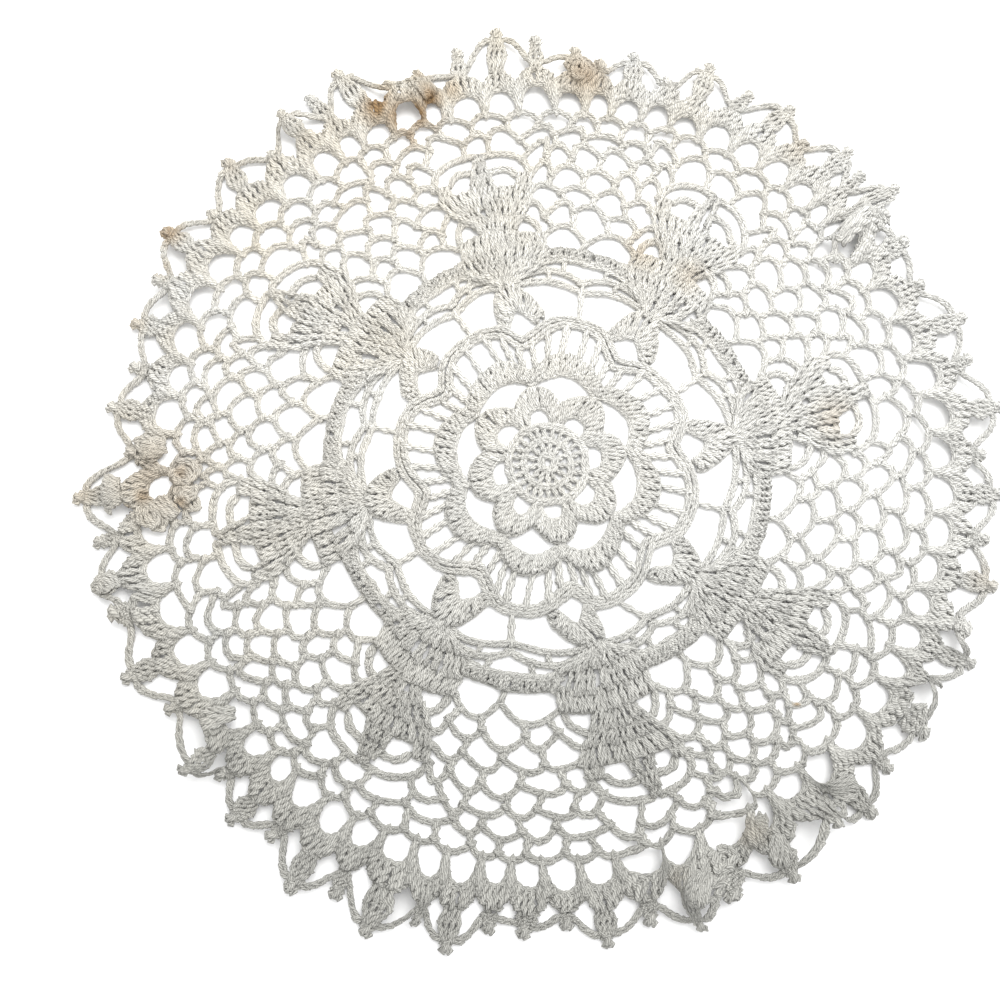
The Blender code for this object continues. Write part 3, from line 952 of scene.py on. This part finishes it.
EDGE = [
    # angle and tip radius of a tall cluster, angle and top radius of the knob after it
    (6.9, 151.5, 14.0, 146.5),
    (19.6, 151.0, 25.7, 143.0),
    (32.2, 147.0, 35.6, 145.0),
    (38.6, 157.0, 43.0, 151.0),
    (46.6, 155.0, 51.3, 146.0),
    (55.5, 155.0, 61.3, 151.5),
    (67.9, 153.5, 73.6, 143.5),
    (77.9, 150.0, 82.6, 144.0),
    (86.2, 148.0, 91.6, 152.0),
    (96.4, 156.0, 101.9, 151.5),
    (108.0, 146.0, 113.6, 144.0),
    (118.0, 156.0, 122.5, 152.0),
    (126.6, 151.0, 131.0, 141.5),
    (136.8, 150.5, 143.2, 141.5),
    (149.2, 149.5, 155.4, 143.5),
    (162.0, 144.0, 167.2, 139.5),
    (173.4, 144.0, 178.8, 136.5),
    (184.4, 152.0, 190.6, 147.0),
    (196.0, 150.0, 201.0, 146.5),
    (207.4, 150.5, 213.2, 143.0),
    (219.0, 149.0, 223.2, 143.0),
    (228.1, 149.5, 233.2, 145.5),
    (238.2, 155.0, 243.2, 150.5),
    (248.0, 156.0, 252.4, 148.0),
    (256.8, 153.0, 261.2, 145.5),
    (265.4, 146.5, 270.4, 144.0),
    (275.4, 150.0, 280.4, 145.0),
    (286.4, 150.0, 291.6, 145.5),
    (298.4, 149.0, 304.6, 142.0),
    (311.0, 149.0, 316.6, 143.0),
    (322.6, 146.0, 328.6, 142.0),
    (333.6, 150.0, 338.0, 143.5),
    (343.8, 150.5, 349.6, 145.0),
    (355.6, 149.5, 360.6, 144.0),
]
TALL, LOW = (4, 4.2, 2.6), (3, 3.0, 1.8)  # trebles of a cluster, its width, and that of its top
FOOT_AT = -0.06  # where its foot is, as a share of the way from the crown to the tip
WIDEST_AT = 0.55  # where it is widest, as a share of the way from the foot to the top
FOOT_WIDE, WIDEST = 0.8, 1.4  # its widths at both, in shares of its width
WIDEST_STRAY = 0.5
TREBLE_OVERLAP = 0.4  # how far the two halves of a long treble run past each other
KNOB = 4.6  # length of a knob
KNOB_BACK = 0.45  # how far back from the tip its middle lies, in lengths
KNOB_STITCHES = [
    # turn of a stitch in radians, its height, half its length as a share of the knob
    (-0.8, 0.0, 0.36),
    (0.8, 0.5, 0.36),
    (0.0, 1.0, 0.28),
]
KNOB_TURN = 0.2  # how far each may turn further
MEETS_AT = 0.15  # where the chain meets a knob, as a share of the way to the knob's top
MEETS_BACK = 1.4  # and how far back towards the tall cluster
FALL = [
    # share of the way across, of the way down, further out
    (0.36, 0.02, 0.9),
    (0.64, 0.35, 0.6),
    (0.84, 0.80, 0.0),
]
FALL_ASIDE, FALL_OUT = 0.8, 0.4  # how far aside and out of the top it starts
edging = []


def turned_by(way, turn):
    """A flat vector turned anticlockwise, in radians."""
    x = way[0] * math.cos(turn) - way[1] * math.sin(turn)
    y = way[0] * math.sin(turn) + way[1] * math.cos(turn)
    return np.array((x, y))


def edge_point(scallop, angle, radius, share):
    """A point part of the way from a scallop's crown to a tip that leans off it."""
    middle, crown = border_at(scallop)
    return strayed(mixed(middle, angle, share), mixed(crown, radius, share))


def knot(middle, out):
    """A small knot: three short stitches crossed over each other."""
    for turn, up, share in KNOB_STITCHES:
        turn += chance.uniform(-KNOB_TURN, KNOB_TURN)
        reach = share * KNOB * turned_by(out, turn)
        stitch(edging, "short", middle - reach, middle + reach, width=1.15, up=up)


def cluster(scallop, angle, radius, strands, wide, narrow):
    """Long trebles from a scallop's crown, drawn together under a knob; gives their top."""
    foot = edge_point(scallop, angle, radius, FOOT_AT)
    tip = edge_point(scallop, angle, radius, 1.0)
    out = (tip - foot) / np.hypot(*(tip - foot))
    across = np.array((-out[1], out[0]))
    top = tip - KNOB * out
    if np.dot(top - foot, out) > 0:
        bend = mixed(foot, top, WIDEST_AT)
        bend = bend + chance.uniform(-WIDEST_STRAY, WIDEST_STRAY) * across
        for k in np.linspace(-0.5, 0.5, strands):
            low = foot + k * FOOT_WIDE * wide * across
            middle = bend + k * WIDEST * wide * across
            high = top + out + k * narrow * across
            stitch(edging, "slack", low, middle + TREBLE_OVERLAP * out, up=0.3)
            stitch(edging, "post", middle - TREBLE_OVERLAP * out, high, up=0.4)
    knot(tip - KNOB_BACK * KNOB * out, out)
    return top, out, across


for row, (tall_angle, tall, knob_angle, knob_top) in enumerate(EDGE):
    s = 2 * row
    top, out, across = cluster(s, tall_angle, tall, *TALL)
    cluster(s + 1, knob_angle, knob_top, *LOW)
    # the chain that falls from the tip to the knobs on both sides
    knob_before = EDGE[row - 1][2:]
    for side, (angle, radius) in ((-1, knob_before), (1, (knob_angle, knob_top))):
        joint = edge_point((s + side) % SCALLOPS, angle, radius, MEETS_AT)
        joint = joint - MEETS_BACK * side * across
        down = np.dot(joint - top, out) * out
        aside = joint - top - down
        path = [top + FALL_ASIDE * side * across + FALL_OUT * out]
        for share, fallen, further in FALL:
            path.append(top + share * aside + fallen * down + further * out)
        chain(edging, [*path, joint], up=0.1, width=0.85)

# where the border crowds, a scallop is pushed over its neighbour
PUSHED = [
    # angle, radius, angle from straight outwards, length, width
    (179.0, 128.0, 20, 7.0, 6.0),
    (187.8, 124.0, -40, 7.0, 6.0),
    (184.4, 139.0, 0, 5.0, 11.0),
    (217.7, 131.0, -30, 9.0, 5.0),
    (289.0, 137.5, -35, 8.0, 7.0),
    (296.8, 129.0, 35, 6.0, 9.0),
    (298.6, 138.0, -20, 8.0, 6.0),
    (310.4, 135.5, 60, 7.0, 9.0),
    (36.5, 131.0, 5, 12.0, 4.5),
    (108.2, 137.0, 25, 6.0, 9.0),
]
PUSHED_FOOT = (-0.5, 0.0, 0.5)  # its foot, in shares of its width
PUSHED_FOOT_WIDE = 0.7  # width of its foot beside that of its head
# its head, in shares of its width and of its length
PUSHED_HEAD = [(-0.5, 0.25), (-0.3, 0.44), (0.0, 0.50), (0.3, 0.44), (0.5, 0.25)]
POSTS_PER_MM = 1.2  # of its width
for angle, radius, turned, length, width in PUSHED:
    middle = strayed(angle, radius)
    way = math.radians(angle + turned)
    out = np.array((math.cos(way), math.sin(way)))
    across = np.array((-out[1], out[0]))
    foot = middle - 0.5 * length * out
    inner = [foot + share * PUSHED_FOOT_WIDE * width * across for share in PUSHED_FOOT]
    outer = [middle + bow * length * out + share * width * across for share, bow in PUSHED_HEAD]
    posts(edging, inner, outer, round(width * POSTS_PER_MM), up=1.2)
    chain(edging, outer, up=1.4, width=0.9)

# and here and there loops of it lie curled up on each other
CURLED = [
    # angle, radius, reach of a loop, loops
    (182.4, 116.5, 2.8, 3),
    (186.8, 116.5, 2.6, 3),
    (188.4, 128.5, 3.0, 4),
    (179.2, 130.0, 2.8, 3),
    (196.4, 144.5, 2.8, 3),
    (84.6, 138.5, 2.8, 3),
    (109.0, 138.8, 3.0, 3),
    (37.5, 139.0, 2.4, 2),
    (291.5, 134.0, 3.0, 3),
    (307.0, 138.0, 2.8, 3),
]
CURL_STRAY = 2.0  # how far a loop strays from its heap's middle
CURL_WIDE, CURL_NARROW = (0.9, 1.3), (0.5, 0.8)  # half its length and width, in reaches
CURL_STEPS = 8
CURL_FROM, CURL_RISE = 0.5, 0.7  # height of the lowest loop, and from one to the next
for angle, radius, reach, count in CURLED:
    for k in range(count):
        stray = [chance.uniform(-CURL_STRAY, CURL_STRAY) for _ in range(2)]
        middle = strayed(angle, radius) + stray
        leaning = chance.uniform(0, math.pi)
        wide, narrow = (reach * chance.uniform(*shares) for shares in (CURL_WIDE, CURL_NARROW))
        loop = []
        for step in range(CURL_STEPS + 1):
            way = 2 * math.pi * step / CURL_STEPS
            loop.append(middle + turned_by((wide * math.cos(way), narrow * math.sin(way)), leaning))
        chain(edging, loop, up=CURL_FROM + CURL_RISE * k, passes=1)
edging_piece = worked("doily_edging", edging)


# The table under the work: a plain white ground, which the doily lies on and casts its
# shadow on. It isn't part of the object.

GROUND_SIZE = 6.0  # metres
GROUND_WHITE = (0.96, 0.96, 0.96, 1)
bpy.ops.object.select_all(action="DESELECT")
bpy.ops.mesh.primitive_plane_add(size=GROUND_SIZE, location=(0, 0, 0))
floor = bpy.context.object
floor.name = "floor"
ground = bpy.data.materials.new("white_ground")
ground.use_nodes = True
ground.node_tree.nodes["Principled BSDF"].inputs["Base Color"].default_value = GROUND_WHITE
ground.node_tree.nodes["Principled BSDF"].inputs["Roughness"].default_value = 0.9
floor.data.materials.append(ground)


# The light: a soft panel above the upper right edge, turned to the middle of the work, and an
# even pale surround. Places are in metres from here on.

PANEL_PLACE = (0.14, 0.38, 0.60)
PANEL_SIZE = 0.7
PANEL_WATTS = 7.5
SURROUND = 1.05
world = bpy.data.worlds.new("studio")
bpy.context.scene.world = world
world.use_nodes = True
world.node_tree.nodes["Background"].inputs["Color"].default_value = (1, 1, 1, 1)
world.node_tree.nodes["Background"].inputs["Strength"].default_value = SURROUND
panel = bpy.data.lights.new("panel", "AREA")
panel.size = PANEL_SIZE
panel.energy = PANEL_WATTS
panel_object = bpy.data.objects.new("panel", panel)
panel_object.location = PANEL_PLACE
panel_object.rotation_euler = (-Vector(PANEL_PLACE)).to_track_quat("-Z", "Y").to_euler()
bpy.context.scene.collection.objects.link(panel_object)


# The camera: a third of a metre above the work, and looking almost straight down from a
# little below its middle. Its lens is as long as its sensor is wide.

CAMERA_PLACE = (-0.0341, -0.0717, 0.3166)
CAMERA_RIGHT = (0.99864, -0.00952, 0.05116)
CAMERA_UP = (0, 0.98313, 0.18291)
CAMERA_BACK = (-0.05204, -0.18266, 0.98180)
LENS = 36.0
eye = bpy.data.cameras.new("camera")
eye.lens = LENS
eye.sensor_width = LENS
camera = bpy.data.objects.new("camera", eye)
camera.location = CAMERA_PLACE
turn = Matrix((CAMERA_RIGHT, CAMERA_UP, CAMERA_BACK)).transposed()
camera.rotation_euler = turn.to_euler()
bpy.context.scene.collection.objects.link(camera)
bpy.context.scene.camera = camera
bpy.context.scene.view_settings.view_transform = "Standard"
